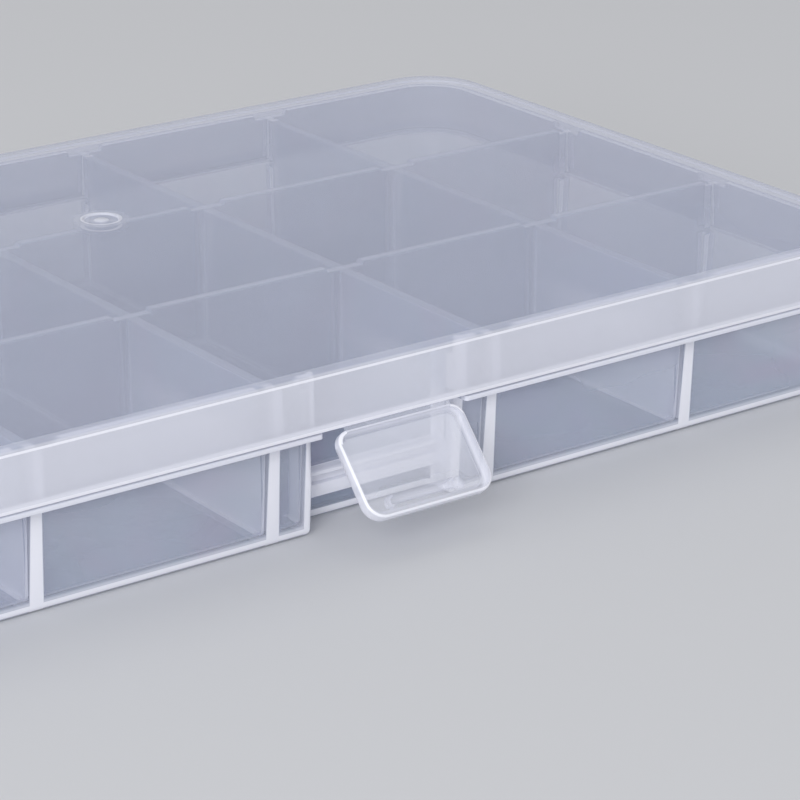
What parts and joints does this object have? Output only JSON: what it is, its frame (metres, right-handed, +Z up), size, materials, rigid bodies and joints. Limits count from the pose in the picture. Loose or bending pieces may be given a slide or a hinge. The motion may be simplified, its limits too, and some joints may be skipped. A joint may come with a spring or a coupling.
{
  "type": "compartment box",
  "caption": "Shallow translucent box with fixed square compartments, one hinged lid over all of them and a front snap flap.",
  "frame": {"origin": "centre of the tray's underside, on the surface it stands on", "axes": "+X along the length to the right, +Y to the hinge at the back, +Z up"},
  "size_m": [0.1736, 0.115, 0.0232],
  "materials": {
    "tray_plastic": "clear polypropylene, slightly milky, glossy",
    "lid_plastic": "clear polypropylene, slightly milky, glossy",
    "flap_plastic": "clear polypropylene, slightly milky, glossy"
  },
  "bodies": {
    "tray": {"tray_shell": "tray_plastic", "column_divider_1": "tray_plastic", "column_divider_2": "tray_plastic", "column_divider_3": "tray_plastic", "column_divider_4": "tray_plastic", "row_divider_1": "tray_plastic", "row_divider_2": "tray_plastic", "catch_bar": "tray_plastic"},
    "lid": {"lid_shell": "lid_plastic", "lid_hinge_film": "lid_plastic"},
    "latch": {"latch_flap": "flap_plastic", "latch_hook": "flap_plastic", "latch_hinge_film": "flap_plastic"}
  },
  "joints": [
    {"name": "lid_hinge", "type": "hinge", "parent": "tray", "child": "lid", "pos_m": [0, 0.0535, 0.01473], "axis": [-1, 0, 0], "range_deg": [0, 180], "deforming": ["lid_hinge_film"]},
    {"name": "latch_hinge", "type": "hinge", "parent": "lid", "child": "latch", "pos_m": [0, -0.0526, 0.01475], "axis": [-1, 0, 0], "range_deg": [-57, 72.5], "stiffness_Nm_per_rad": 0.001, "deforming": ["latch_hinge_film"]}
  ]
}
